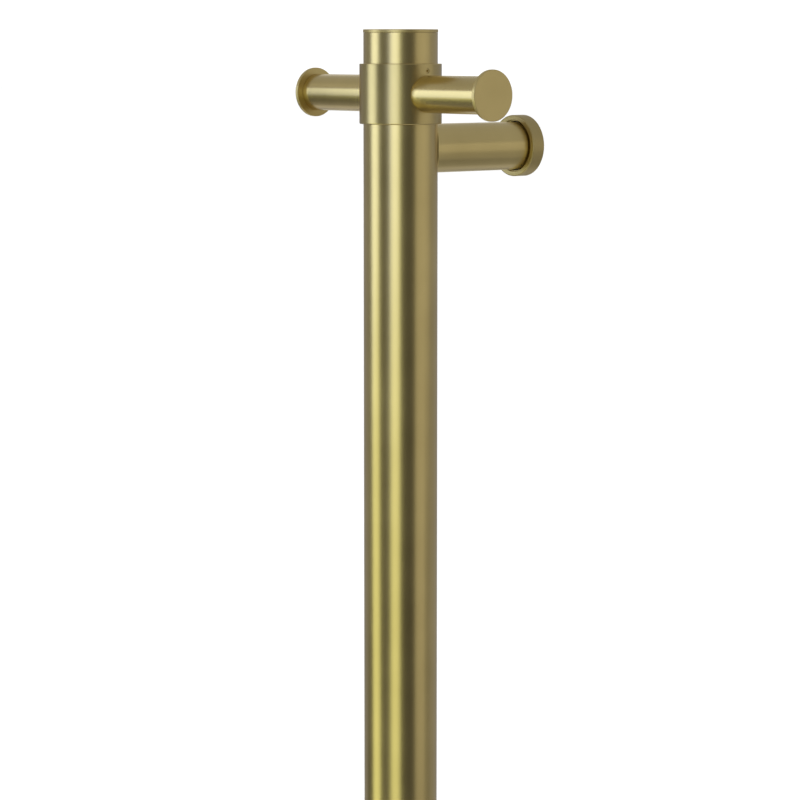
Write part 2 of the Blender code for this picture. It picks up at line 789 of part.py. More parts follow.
def make_lead_joint(rail):
    """The moulded sleeve where the heating cable, the cutout and the supply lead meet."""
    edge = 1 * MM
    profile = [
        (0, JOINT_TOP),
        (JOINT_RADIUS - edge, JOINT_TOP),
        (JOINT_RADIUS, JOINT_TOP - edge),
        (JOINT_RADIUS, JOINT_BOTTOM + edge),
        (JOINT_RADIUS - edge, JOINT_BOTTOM),
        (0, JOINT_BOTTOM),
    ]
    place = (0, -JOINT_FRONT, 0)
    finish(turned("lead_joint", profile, SIDES_SMALL, place, UPRIGHT, rail), RUBBER)


def make_cutout(rail):
    """The thermal cutout behind the plate, with two leads down to the joint."""
    depth = CUTOUT_SIZE[1]
    back = PLATE_THICKNESS / 2 + TOUCH_GAP + depth / 2
    body = box("thermal_cutout", CUTOUT_SIZE, (0, back, CUTOUT_Z), rail)
    bevel = body.modifiers.new("Edges", "BEVEL")
    bevel.width = CUTOUT_EDGE
    bevel.segments = 2
    finish(body, STEEL)
    top = CUTOUT_Z - CUTOUT_SIZE[2] / 2 - FACE_GAP
    for label, side in (("right", 1), ("left", -1)):
        x = side * CUTOUT_LEAD_X
        route = [
            (x, back, top),
            (x, back, top - 8 * MM),
            (x, back - 1 * MM, PLATE_BOTTOM + 4 * MM),
            (x, CUTOUT_LEAD_BACK + 0.6 * MM, PLATE_BOTTOM - 4 * MM),
            (x, CUTOUT_LEAD_BACK, JOINT_TOP + FACE_GAP),
        ]
        flexible(f"cutout_lead_{label}", route, CUTOUT_LEAD_RADIUS, PVC, rail)


# ---------------------------------------------------------------- supply lead


def make_lead(mount):
    """The low-voltage lead from the joint, through the lower post and out of the boss."""
    plate_inner = RAIL_BORE - TOUCH_GAP - NUT_PLATE_THICKNESS
    at_flange_edge = math.sqrt(plate_inner**2 - BUSH_FLANGE_RADIUS**2)
    flange_face = RAIL_TO_WALL - at_flange_edge + TOUCH_GAP
    bush_start = RAIL_TO_WALL - RAIL_RADIUS - POST_WEB - 2 * MM
    bush_profile = [
        (BUSH_BORE, flange_face + BUSH_FLANGE),
        (BUSH_FLANGE_RADIUS, flange_face + BUSH_FLANGE),
        (BUSH_FLANGE_RADIUS, flange_face),
        (BUSH_RADIUS, flange_face),
        (BUSH_RADIUS, bush_start),
        (BUSH_BORE, bush_start),
    ]
    finish(turned("lead_bush", bush_profile, SIDES_SMALL, (0, 0, 0), FROM_WALL, mount, ring=True), NYLON)
    flange_from = BOSS_BASE + FACE_GAP
    flange_to = flange_from + GROMMET_FLANGE
    neck = LEAD_HOLE_RADIUS - TOUCH_GAP
    grommet_profile = [
        (BUSH_BORE, flange_to),
        (WALL_SCREW_HEAD, flange_to),
        (WALL_SCREW_HEAD, flange_from),
        (neck, flange_from),
        (neck, TOUCH_GAP),
        (BUSH_BORE, TOUCH_GAP),
    ]
    place = (0, 0, LEAD_HOLE_Z)
    grommet = turned("lead_grommet", grommet_profile, SIDES_SMALL, place, FROM_WALL, mount, ring=True)
    finish(grommet, RUBBER)
    joint_end = JOINT_BOTTOM - LOWER_POST_Z - FACE_GAP
    axis = -RAIL_TO_WALL
    route = [
        (0, axis - JOINT_FRONT, joint_end),
        (0, axis - JOINT_FRONT, joint_end - 6 * MM),
        (0, axis + 0.5 * MM, joint_end - 16 * MM),
        (0, axis + 5 * MM, 3.5 * MM),
        (0, axis + 11.5 * MM, 0),
        (0, -bush_start, 0),
        (0, -bush_start + 12 * MM, -0.6 * MM),
        (0, -BOSS_LENGTH - 10 * MM, LEAD_HOLE_Z + 0.6 * MM),
        (0, -BOSS_LENGTH, LEAD_HOLE_Z),
        (0, -TOUCH_GAP, LEAD_HOLE_Z),
    ]
    flexible("supply_lead", route, LEAD_RADIUS, PVC, mount)


def build():
    rail = empty("rail_axis", (0, -RAIL_TO_WALL, 0))
    upper = empty("upper_mounting", (0, 0, 0))
    lower = empty("lower_mounting", (0, 0, LOWER_POST_Z))
    hook_height = POST_RADIUS + TOUCH_GAP + COLLAR_HEIGHT / 2
    hook = empty("hook_axis", (0, 0, hook_height), rail)
    make_rail(rail)
    make_cap(rail, "top", RAIL_TOP, UPRIGHT)
    make_cap(rail, "bottom", RAIL_BOTTOM, UPSIDE_DOWN)
    make_hook(hook)
    make_mounting(upper, "upper")
    make_mounting(lower, "lower")
    make_element(rail)
    make_lead(lower)


build()
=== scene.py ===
"""The looks of a vertical single-bar towel warmer: fine brass pieces, materials, studio and camera."""

import json
import math

import bmesh
import bpy
from mathutils import Euler, Matrix, Quaternion, Vector


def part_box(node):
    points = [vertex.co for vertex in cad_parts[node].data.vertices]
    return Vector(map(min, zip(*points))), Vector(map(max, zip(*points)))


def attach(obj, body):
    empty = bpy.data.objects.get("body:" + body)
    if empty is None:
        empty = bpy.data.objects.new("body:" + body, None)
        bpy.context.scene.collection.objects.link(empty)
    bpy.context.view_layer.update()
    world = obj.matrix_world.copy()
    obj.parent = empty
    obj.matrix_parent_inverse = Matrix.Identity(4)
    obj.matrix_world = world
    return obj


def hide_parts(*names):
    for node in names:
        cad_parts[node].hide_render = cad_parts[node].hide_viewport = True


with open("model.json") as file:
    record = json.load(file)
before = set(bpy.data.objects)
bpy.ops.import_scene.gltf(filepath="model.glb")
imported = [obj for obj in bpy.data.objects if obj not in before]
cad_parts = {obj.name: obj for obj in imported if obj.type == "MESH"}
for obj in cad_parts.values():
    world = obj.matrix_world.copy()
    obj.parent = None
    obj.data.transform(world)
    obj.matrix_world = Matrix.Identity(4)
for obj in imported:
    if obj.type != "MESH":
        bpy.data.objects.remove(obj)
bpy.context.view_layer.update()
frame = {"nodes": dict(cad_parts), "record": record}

MM = 0.001

# Axes, by their place in a vector
X_AXIS = 0
Y_AXIS = 1
Z_AXIS = 2

# Camera, placed about the rail's axis
CAMERA_AZIMUTH = math.radians(49.81)
CAMERA_PITCH = math.radians(7.22)
CAMERA_DISTANCE = 1.45
CAMERA_BELOW_TOP = 7.1 * MM
CAMERA_ASIDE = 0.3 * MM
CAMERA_LENS = 126.7
SENSOR = 36

# Fineness of the turned pieces: steps round them, steps in a fillet, and the support ring past a fillet
STEPS_RAIL = 160
STEPS_SMALL = 112
STEPS_SCREW = 48
ARC_STEPS = 5
SUPPORT = 0.12 * MM

# Faces that meet at more than these angles keep a sharp edge
SHARP_TURNED = math.radians(50)
SHARP_SCREW = math.radians(40)
SHARP_CAD = math.radians(35)

FLOOR_BELOW_RAIL = 0.65
FLOOR_SIZE = 200.0


def across(node, axis):
    """Half of a CAD node's size along one axis."""
    low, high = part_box(node)
    return (high[axis] - low[axis]) / 2


def middle_of(node):
    """The centre of a CAD node's box."""
    low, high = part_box(node)
    return (low + high) / 2


RAIL_AXIS = middle_of("rail_tube") * Vector((1, 1, 0))
RAIL_RADIUS = across("rail_tube", X_AXIS)
RAIL_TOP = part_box("top_cap")[1].z
RAIL_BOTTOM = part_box("bottom_cap")[0].z
COLLAR_RADIUS = across("hook_collar", X_AXIS)
HOOK_CENTRE = RAIL_AXIS + Vector((0, 0, middle_of("hook_collar").z))

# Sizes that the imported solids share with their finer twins
RAIL_WALL = 1.5 * MM
CAP_RIM = 1.6 * MM
CAP_SPIGOT_RADIUS = 17.2 * MM
CAP_SPIGOT_WALL = 3.5 * MM
CAP_GROOVE_DEPTH = 1.5 * MM
CAP_GROOVE_FROM = 4.4 * MM
CAP_GROOVE_TO = 6.8 * MM
COLLAR_BORE = 19.55 * MM
COLLAR_RECESS_RADIUS = 20.1 * MM
COLLAR_RING = 6 * MM
COLLAR_LIP = 1.2 * MM
LOCK_SCREW_DOWN = 3.6 * MM
LINER_WALL = 0.5 * MM
ARM_WALL = 1.5 * MM
DISC_THICKNESS = 2 * MM
DISC_SPIGOT_RADIUS = 7.7 * MM
DISC_GAP = 0.1 * MM
GAP = 0.3 * MM
SEAM = 0.05 * MM
POST_BORE = 11.2 * MM
POST_WEB = 5.65 * MM
BOSS_BASE = 3 * MM
BOSS_LENGTH = 20 * MM
BOSS_SPIGOT_RADIUS = 10.9 * MM
BOSS_SPIGOT_BORE = 9.3 * MM
WALL_SCREW_HOLE = 2.1 * MM
WALL_SCREW_X = 5.4 * MM
WALL_SCREW_Z = 1.8 * MM
LEAD_HOLE = 2.9 * MM
LEAD_HOLE_Z = -5.6 * MM
COVER_DEPTH = 8 * MM
COVER_BORE = 12.95 * MM
COVER_MOUTH_RADIUS = 13.5 * MM
COVER_MOUTH_DEPTH = 1.5 * MM
COVER_CAVITY_DEPTH = 3.6 * MM
COVER_CAVITY_RADIUS = 15.3 * MM
COVER_GROOVE_RADIUS = 14.5 * MM
COVER_GROOVE_FROM = 4.2 * MM
COVER_GROOVE_TO = 5.8 * MM
GRUB_FROM_WALL = 13 * MM
M4_HOLE = 2.3 * MM
LOCK_SCREW_HOLE = 1.3 * MM
GRUB_SOCKET = 2.3 * MM
LOCK_SCREW_SOCKET = 1.5 * MM

# Fillets at the edges of the turned pieces
CRISP = 0.15 * MM
EASED = 0.3 * MM
RAIL_EDGE = 0.1 * MM
LINER_EDGE = 0.12 * MM
COLLAR_EDGE = 0.25 * MM
COLLAR_LOWER_EDGE = 0.55 * MM
ARM_ROOT_EDGE = 0.5 * MM
DISC_FACE_EDGE = 0.45 * MM
DISC_BACK_EDGE = 0.35 * MM
DISC_SPIGOT_EDGE = 0.4 * MM
POST_BORE_EDGE = 0.2 * MM
BOSS_BACK_EDGE = 0.1 * MM
COVER_FACE_EDGE = 0.6 * MM
COVER_BORE_EDGE = 0.2 * MM
SCREW_RIM = 0.18 * MM
SADDLE_REACH = 1 * MM

# Which way local Z points once a piece is placed
FROM_WALL = Euler((math.pi / 2, 0, 0))
TO_WALL = Euler((-math.pi / 2, 0, 0))
TO_RIGHT = Euler((0, math.pi / 2, 0))
TO_LEFT = Euler((0, -math.pi / 2, 0))
UPRIGHT = Euler((0, 0, 0))
UPSIDE_DOWN = Euler((math.pi, 0, 0))


# ---------------------------------------------------------------- turned meshes


def fillet(before, corner, after, radius):
    """The arc that rounds a profile's corner, as points from one tangent point to the other."""
    to_before = (before - corner).normalized()
    to_after = (after - corner).normalized()
    half = to_before.angle(to_after) / 2
    reach = radius / math.tan(half)
    middle = corner + (to_before + to_after).normalized() * (radius / math.sin(half))
    start = corner + to_before * reach - middle
    turn = math.pi - 2 * half
    sign = 1 if start.cross(corner + to_after * reach - middle) > 0 else -1
    points = [corner + to_before * (reach + SUPPORT)]
    for step in range(ARC_STEPS + 1):
        angle = sign * turn * step / ARC_STEPS
        points.append(middle + Matrix.Rotation(angle, 2) @ start)
    points.append(corner + to_after * (reach + SUPPORT))
    return points


def rounded(profile, ring):
    """Profile points, each (radius, height) or (radius, height, fillet), with the fillets as arcs."""
    corners = [Vector(entry[:2]) for entry in profile]
    points = []
    for i, entry in enumerate(profile):
        inside = ring or 0 < i < len(profile) - 1
        if len(entry) == 3 and inside:
            points += fillet(corners[i - 1], corners[i], corners[(i + 1) % len(corners)], entry[2])
        else:
            points.append(corners[i])
    return points


def turned(name, profile, steps, ring=False):
    """A mesh object turned about local Z from a profile, with its faces pointing out."""
    shape = bmesh.new()
    points = rounded(profile, ring)
    verts = [shape.verts.new((p.x, 0, p.y)) for p in points]
    pairs = list(zip(verts, verts[1:]))
    if ring:
        pairs.append((verts[-1], verts[0]))
    edges = [shape.edges.new(pair) for pair in pairs]
    bmesh.ops.spin(
        shape,
        geom=verts + edges,
        cent=(0, 0, 0),
        axis=(0, 0, 1),
        angle=2 * math.pi,
        steps=steps,
        use_merge=True,
    )
    bmesh.ops.remove_doubles(shape, verts=shape.verts, dist=0.001 * MM)
    bmesh.ops.recalc_face_normals(shape, faces=shape.faces)
    mesh = bpy.data.meshes.new(name)
    shape.to_mesh(mesh)
    shape.free()
    obj = bpy.data.objects.new(name, mesh)
    bpy.context.scene.collection.objects.link(obj)
    mesh.shade_smooth()
    mesh.set_sharp_from_angle(angle=SHARP_TURNED)
    return obj


def place(obj, location, rotation):
    """Bakes a placement into the mesh, so that object coordinates are the model's own."""
    obj.data.transform(Matrix.Translation(location) @ rotation.to_matrix().to_4x4())


def drilled(obj, centre, direction, radius, depth):
    """Cuts a round hole through the mesh, centred on a point and running along a direction."""
    bpy.ops.mesh.primitive_cylinder_add(vertices=STEPS_SCREW, radius=radius, depth=depth)
    cutter = bpy.context.object
    cutter.rotation_mode = "QUATERNION"
    cutter.rotation_quaternion = Vector((0, 0, 1)).rotation_difference(Vector(direction))
    cutter.location = centre
    cut = obj.modifiers.new("Hole", "BOOLEAN")
    cut.operation = "DIFFERENCE"
    cut.solver = "EXACT"
    cut.object = cutter
    applied(obj)
    bpy.data.objects.remove(cutter, do_unlink=True)
    obj.data.shade_smooth()
    obj.data.set_sharp_from_angle(angle=SHARP_TURNED)


def applied(obj):
    """Replaces the object's mesh with the one its modifiers make."""
    bpy.context.view_layer.update()
    graph = bpy.context.evaluated_depsgraph_get()
    mesh = bpy.data.meshes.new_from_object(obj.evaluated_get(graph))
    old = obj.data
    obj.modifiers.clear()
    obj.data = mesh
    bpy.data.meshes.remove(old)


def saddled(bar, surface, crossing):
    """Fits the root of a bar to a round surface. The bar runs along local Z from the surface's radius.

    crossing is the local axis that goes across the surface, and not along its own axis.
    """
    for vert in bar.data.vertices:
        if vert.co.z < surface + SADDLE_REACH:
            vert.co.z += math.sqrt(surface**2 - vert.co[crossing] ** 2) - surface


# ---------------------------------------------------------------- materials


# The stretch of a noise that a colour, a roughness or a tone is spread over
NOISE_LOW = 0.3
NOISE_HIGH = 0.7


class Nodes:
    """A short way to write a material's node tree."""

    def __init__(self, name):
        self.material = bpy.data.materials.new(name)
        self.material.use_nodes = True
        self.tree = self.material.node_tree
        self.shader = self.tree.nodes["Principled BSDF"]
        coords = self.tree.nodes.new("ShaderNodeTexCoord")
        self.coords = coords.outputs["Object"]

    def link(self, source, target):
        self.tree.links.new(source, target)

    def set(self, **values):
        for name, value in values.items():
            self.shader.inputs[name.replace("_", " ").title()].default_value = value

    def stretched(self, scale):
        """The object coordinates multiplied along each axis, in waves per metre."""
        mapping = self.tree.nodes.new("ShaderNodeMapping")
        mapping.inputs["Scale"].default_value = scale
        self.link(self.coords, mapping.inputs["Vector"])
        return mapping.outputs["Vector"]

    def noise(self, scale, detail=2.0, roughness=0.5):
        """Noise over the object coordinates, with its own scale along each axis."""
        noise = self.tree.nodes.new("ShaderNodeTexNoise")
        noise.inputs["Scale"].default_value = 1.0
        noise.inputs["Detail"].default_value = detail
        noise.inputs["Roughness"].default_value = roughness
        self.link(self.stretched(scale), noise.inputs["Vector"])
        return noise.outputs["Fac"]

    def between(self, factor, low, high):
        """A number that runs from low to high as a noise crosses its middle stretch."""
        mapped = self.tree.nodes.new("ShaderNodeMapRange")
        mapped.inputs["From Min"].default_value = NOISE_LOW
        mapped.inputs["From Max"].default_value = NOISE_HIGH
        mapped.inputs["To Min"].default_value = low
        mapped.inputs["To Max"].default_value = high
        self.link(factor, mapped.inputs["Value"])
        return mapped.outputs["Result"]

    def colour(self, factor, dark, light):
        """Base colour that runs from dark to light as a noise crosses its middle stretch."""
        ramp = self.tree.nodes.new("ShaderNodeValToRGB")
        ramp.color_ramp.elements[0].position = NOISE_LOW
        ramp.color_ramp.elements[0].color = (*dark, 1)
        ramp.color_ramp.elements[1].position = NOISE_HIGH
        ramp.color_ramp.elements[1].color = (*light, 1)
        self.link(factor, ramp.inputs["Fac"])
        self.link(ramp.outputs["Color"], self.shader.inputs["Base Color"])

    def added(self, first, second):
        total = self.tree.nodes.new("ShaderNodeMath")
        total.operation = "ADD"
        self.link(first, total.inputs[0])
        self.link(second, total.inputs[1])
        return total.outputs["Value"]

    def bump(self, height, distance):
        bump = self.tree.nodes.new("ShaderNodeBump")
        bump.inputs["Strength"].default_value = 1.0
        bump.inputs["Distance"].default_value = distance
        self.link(height, bump.inputs["Height"])
        self.link(bump.outputs["Normal"], self.shader.inputs["Normal"])

    def roughness(self, value):
        self.link(value, self.shader.inputs["Roughness"])


BRASS_DARK = (0.60, 0.475, 0.205)
BRASS_LIGHT = (0.67, 0.535, 0.235)

# Noise scales, in waves per metre
PATCHES = 28
GRAIN = 2600
MARKS_ACROSS = 5200
MARKS_ALONG = 260

STEEL_CLOUDS = 160
STEEL_GRAIN = 1800
ROLLING_MARKS = (2400, 900, 14)
PLASTIC_CLOUDS = 90
FLOOR_CLOUDS = 3

# How far a noise moves the roughness either way
PATCH_SPREAD = 0.008
MARK_SPREAD = 0.01
STEEL_SPREAD = 0.06
PLASTIC_SPREAD = 0.05

# How deep the marks and the grain are
MARK_DEPTH = 0.0003 * MM
STEEL_DEPTH = 0.004 * MM
ROLLING_DEPTH = 0.006 * MM


def brushed_brass(name, axis, roughness, shade=1.0):
    """Satin brass, brushed across an axis: on a piece turned about that axis, the marks run round it.

    shade scales the brass colour down, for darker copies of the same brass that hold painted shade.
    """
    nodes = Nodes(name)
    nodes.set(metallic=1.0)
    patches = nodes.noise([PATCHES] * 3, detail=3.0)
    dark, light = [[channel * shade for channel in tone] for tone in (BRASS_DARK, BRASS_LIGHT)]
    nodes.colour(patches, dark, light)
    scale = [MARKS_ALONG] * 3
    scale[axis] = MARKS_ACROSS
    marks = nodes.noise(scale, detail=3.0, roughness=0.6)
    grain = nodes.noise([GRAIN] * 3)
    soft = nodes.between(patches, roughness - PATCH_SPREAD, roughness + PATCH_SPREAD)
    streaks = nodes.between(marks, -MARK_SPREAD, MARK_SPREAD)
    nodes.roughness(nodes.added(soft, streaks))
    nodes.bump(nodes.added(marks, grain), MARK_DEPTH)
    return nodes.material


def plated_steel(name, dark, light, roughness):
    """Plated or blackened steel, with cloudy tones and a fine grain."""
    nodes = Nodes(name)
    nodes.set(metallic=1.0)
    clouds = nodes.noise([STEEL_CLOUDS] * 3, detail=4.0)
    nodes.colour(clouds, dark, light)
    grain = nodes.noise([STEEL_GRAIN] * 3)
    nodes.roughness(nodes.between(grain, roughness - STEEL_SPREAD, roughness + STEEL_SPREAD))
    nodes.bump(grain, STEEL_DEPTH)
    return nodes.material


def rolled_aluminium():
    """Mill finish sheet, with rolling marks along the rail."""
    nodes = Nodes("aluminium")
    nodes.set(metallic=1.0)
    marks = nodes.noise(ROLLING_MARKS, detail=3.0)
    nodes.colour(marks, (0.70, 0.70, 0.71), (0.82, 0.82, 0.83))
    nodes.roughness(nodes.between(marks, 0.30, 0.44))
    nodes.bump(marks, ROLLING_DEPTH)
    return nodes.material


def soft_plastic(name, dark, light, roughness, grain_scale, depth):
    """Moulded plastic or rubber, with a grain of its own scale and depth."""
    nodes = Nodes(name)
    clouds = nodes.noise([PLASTIC_CLOUDS] * 3, detail=3.0)
    nodes.colour(clouds, dark, light)
    grain = nodes.noise([grain_scale] * 3, detail=3.0)
    nodes.roughness(nodes.between(grain, roughness - PLASTIC_SPREAD, roughness + PLASTIC_SPREAD))
    nodes.bump(grain, depth)
    return nodes.material


RAIL_BRASS = brushed_brass("satin_brass_rail", Z_AXIS, 0.293)
CAP_BRASS = brushed_brass("satin_brass_caps", Z_AXIS, 0.42)
# The collar's brass is the rail's, darkened to 0.86: painted shade for its dimmer reflections where the
# arms hide the light.
COLLAR_BRASS_PAINTED_SHADE = brushed_brass("satin_brass_collar_painted_shade", Z_AXIS, 0.295, 0.86)
ARM_BRASS = brushed_brass("satin_brass_arms", X_AXIS, 0.24)
DISC_BRASS = brushed_brass("satin_brass_discs", Z_AXIS, 0.38)
POST_BRASS = brushed_brass("satin_brass_posts", Y_AXIS, 0.30)
# The covers' brass is the same brass, darkened to 0.76: painted shade for their dimmer reflections at the
# wall.
COVER_BRASS_PAINTED_SHADE = brushed_brass("satin_brass_covers_painted_shade", Y_AXIS, 0.42, 0.76)
ZINC = plated_steel("zinc_steel", (0.52, 0.53, 0.53), (0.66, 0.66, 0.64), 0.36)
BLACK_STEEL = plated_steel("dark_steel", (0.055, 0.055, 0.055), (0.10, 0.098, 0.095), 0.42)
ALUMINIUM = rolled_aluminium()
NYLON = soft_plastic("nylon", (0.76, 0.74, 0.67), (0.84, 0.82, 0.76), 0.5, 700, 0.02 * MM)
RUBBER = soft_plastic("black_rubber", (0.022, 0.022, 0.022), (0.034, 0.034, 0.033), 0.72, 1500, 0.03 * MM)
SILICONE = soft_plastic("heating_silicone", (0.46, 0.09, 0.055), (0.58, 0.13, 0.085), 0.5, 900, 0.03 * MM)
PVC = soft_plastic("lead_pvc", (0.04, 0.04, 0.043), (0.06, 0.06, 0.064), 0.48, 1100, 0.015 * MM)

NODE_MATERIALS = {
    "zinc_steel": ZINC,
    "dark_steel": BLACK_STEEL,
    "aluminium": ALUMINIUM,
    "nylon": NYLON,
    "black_rubber": RUBBER,
    "heating_silicone": SILICONE,
    "lead_pvc": PVC,
    "satin_brass": RAIL_BRASS,
}


def stands_for(obj, node, body, material):
    """Gives a fine piece its material and lets it take a CAD node's place on that node's body."""
    obj.data.materials.clear()
    obj.data.materials.append(material)
    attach(obj, body)
    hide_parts(node)


# ---------------------------------------------------------------- rail and caps


def make_rail():
    """The upright tube between its two caps."""
    top = RAIL_TOP - CAP_RIM - SEAM
    bottom = RAIL_BOTTOM + CAP_RIM + SEAM
    bore = RAIL_RADIUS - RAIL_WALL
    profile = [
        (RAIL_RADIUS, top, RAIL_EDGE),
        (RAIL_RADIUS, bottom, RAIL_EDGE),
        (bore, bottom, RAIL_EDGE),
        (bore, top, RAIL_EDGE),
    ]
    tube = turned("rail_tube_fine", profile, STEPS_RAIL, ring=True)
    place(tube, RAIL_AXIS, UPRIGHT)
    stands_for(tube, "rail_tube", "root", RAIL_BRASS)


def make_cap(label, height, rotation):
    """A plug cap, turned with its outer face at local zero and its spigot below."""
    rim = across(f"{label}_cap", X_AXIS)
    groove = CAP_SPIGOT_RADIUS - CAP_GROOVE_DEPTH
    hollow = CAP_SPIGOT_RADIUS - CAP_SPIGOT_WALL
    low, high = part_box(f"{label}_cap")
    end = low.z - high.z
    profile = [
        (0, 0),
        (rim, 0, EASED),
        (rim, -CAP_RIM, CRISP),
        (CAP_SPIGOT_RADIUS, -CAP_RIM),
        (CAP_SPIGOT_RADIUS, -CAP_GROOVE_FROM),
        (groove, -CAP_GROOVE_FROM),
        (groove, -CAP_GROOVE_TO),
        (CAP_SPIGOT_RADIUS, -CAP_GROOVE_TO),
        (CAP_SPIGOT_RADIUS, end, EASED),
        (hollow, end, EASED),
        (hollow, -2 * CAP_RIM),
        (0, -2 * CAP_RIM),
    ]
    cap = turned(f"{label}_cap_fine", profile, STEPS_RAIL)
    place(cap, RAIL_AXIS + Vector((0, 0, height)), rotation)
    stands_for(cap, f"{label}_cap", "root", CAP_BRASS)


# ---------------------------------------------------------------- hook


def make_collar():
    """The hook's sleeve, recessed inside for its liner and drilled for its lock screw."""
    half = across("hook_collar", Z_AXIS)
    recess_top = half - COLLAR_RING
    recess_bottom = COLLAR_LIP - half
    profile = [
        (COLLAR_BORE, half, COLLAR_EDGE),
        (COLLAR_RADIUS, half, COLLAR_EDGE),
        (COLLAR_RADIUS, -half, COLLAR_LOWER_EDGE),
        (COLLAR_BORE, -half, COLLAR_EDGE),
        (COLLAR_BORE, recess_bottom),
        (COLLAR_RECESS_RADIUS, recess_bottom),
        (COLLAR_RECESS_RADIUS, recess_top),
        (COLLAR_BORE, recess_top),
    ]
    collar = turned("hook_collar_fine", profile, STEPS_RAIL, ring=True)
    place(collar, HOOK_CENTRE, UPRIGHT)
    hole = HOOK_CENTRE + Vector((COLLAR_RADIUS, 0, half - LOCK_SCREW_DOWN))
    drilled(collar, hole, (1, 0, 0), LOCK_SCREW_HOLE, COLLAR_RADIUS / 2)
    stands_for(collar, "hook_collar", "hook", COLLAR_BRASS_PAINTED_SHADE)


def make_liner():
    """The nylon sleeve between collar and rail."""
    low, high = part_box("hook_liner")
    outer = across("hook_liner", X_AXIS)
    bore = outer - LINER_WALL
    profile = [
        (outer, high.z, LINER_EDGE),
        (outer, low.z, LINER_EDGE),
        (bore, low.z, LINER_EDGE),
        (bore, high.z, LINER_EDGE),
    ]
    liner = turned("hook_liner_fine", profile, STEPS_RAIL, ring=True)
    place(liner, RAIL_AXIS, UPRIGHT)
    stands_for(liner, "hook_liner", "hook_sleeve", NYLON)


def make_arm(label, rotation):
    """A tube from the collar's surface to its disc, its root cut to the collar's curve, and the disc."""
    disc_low, disc_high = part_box(f"hook_disc_{label}")
    reach = max(abs(disc_low.x - RAIL_AXIS.x), abs(disc_high.x - RAIL_AXIS.x))
    arm_radius = across(f"hook_arm_{label}", Z_AXIS)
    bore = arm_radius - ARM_WALL
    root = COLLAR_RADIUS + GAP
    end = reach - DISC_THICKNESS - DISC_GAP
    profile = [
        (arm_radius, end, CRISP),
        (arm_radius, root, ARM_ROOT_EDGE),
        (bore, root, CRISP),
        (bore, end, CRISP),
    ]
    arm = turned(f"hook_arm_{label}_fine", profile, STEPS_SMALL, ring=True)
    saddled(arm, root, Y_AXIS)
    place(arm, HOOK_CENTRE, rotation)
    stands_for(arm, f"hook_arm_{label}", "hook", ARM_BRASS)
    make_disc(label, rotation, reach)


def make_disc(label, rotation, reach):
    """An arm's end disc, with the spigot that is pressed into the arm."""
    disc_radius = across(f"hook_disc_{label}", Z_AXIS)
    back = reach - DISC_THICKNESS
    low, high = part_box(f"hook_disc_{label}")
    spigot_end = reach - (high.x - low.x)
    profile = [
        (0, reach),
        (disc_radius, reach, DISC_FACE_EDGE),
        (disc_radius, back, DISC_BACK_EDGE),
        (DISC_SPIGOT_RADIUS, back),
        (DISC_SPIGOT_RADIUS, spigot_end, DISC_SPIGOT_EDGE),
        (0, spigot_end),
    ]
    disc = turned(f"hook_disc_{label}_fine", profile, STEPS_SMALL)
    place(disc, HOOK_CENTRE, rotation)
    stands_for(disc, f"hook_disc_{label}", "hook", DISC_BRASS)


# ---------------------------------------------------------------- wall mountings


def mounting_height(label):
    return middle_of(f"{label}_wall_boss").z


def make_post(label):
    """The bar from the boss to the rail. It is turned with its rail end at the start of local Z."""
    radius = across(f"{label}_post", Z_AXIS)
    height = mounting_height(label)
    rail_to_wall = -RAIL_AXIS.y
    surface = RAIL_RADIUS + GAP
    wall_end = rail_to_wall - BOSS_BASE - GAP
    web = surface + POST_WEB
    profile = [
        (0, web),
        (POST_BORE, web),
        (POST_BORE, wall_end, POST_BORE_EDGE),
        (radius, wall_end, EASED),
        (radius, surface, EASED),
        (0, surface),
    ]
    post = turned(f"{label}_post_fine", profile, STEPS_SMALL)
    saddled(post, surface, X_AXIS)
    place(post, RAIL_AXIS + Vector((0, 0, height)), TO_WALL)
    hole = Vector((0, -GRUB_FROM_WALL, height - radius))
    drilled(post, hole, (0, 0, 1), M4_HOLE, radius / 2)
    stands_for(post, f"{label}_post", "root", POST_BRASS)


def make_boss(label):
    """The round foot on the wall, drilled for two wall screws, the supply lead and the grub screw."""
    height = mounting_height(label)
    base = across(f"{label}_wall_boss", X_AXIS)
    profile = [
        (0, BOSS_BASE),
        (BOSS_SPIGOT_BORE, BOSS_BASE),
        (BOSS_SPIGOT_BORE, BOSS_LENGTH, EASED),
        (BOSS_SPIGOT_RADIUS, BOSS_LENGTH, EASED),
        (BOSS_SPIGOT_RADIUS, BOSS_BASE),
        (base, BOSS_BASE, EASED),
        (base, 0, BOSS_BACK_EDGE),
        (0, 0),
    ]
    boss = turned(f"{label}_wall_boss_fine", profile, STEPS_SMALL)
    place(boss, Vector((0, 0, height)), FROM_WALL)
    through = 4 * BOSS_BASE
    for x in (-WALL_SCREW_X, WALL_SCREW_X):
        drilled(boss, Vector((x, 0, height + WALL_SCREW_Z)), (0, 1, 0), WALL_SCREW_HOLE, through)
    drilled(boss, Vector((0, 0, height + LEAD_HOLE_Z)), (0, 1, 0), LEAD_HOLE, through)
    spot = Vector((0, -GRUB_FROM_WALL, height - BOSS_SPIGOT_RADIUS))
    drilled(boss, spot, (0, 0, 1), M4_HOLE, BOSS_SPIGOT_BORE / 2)
    stands_for(boss, f"{label}_wall_boss", "root", ZINC)


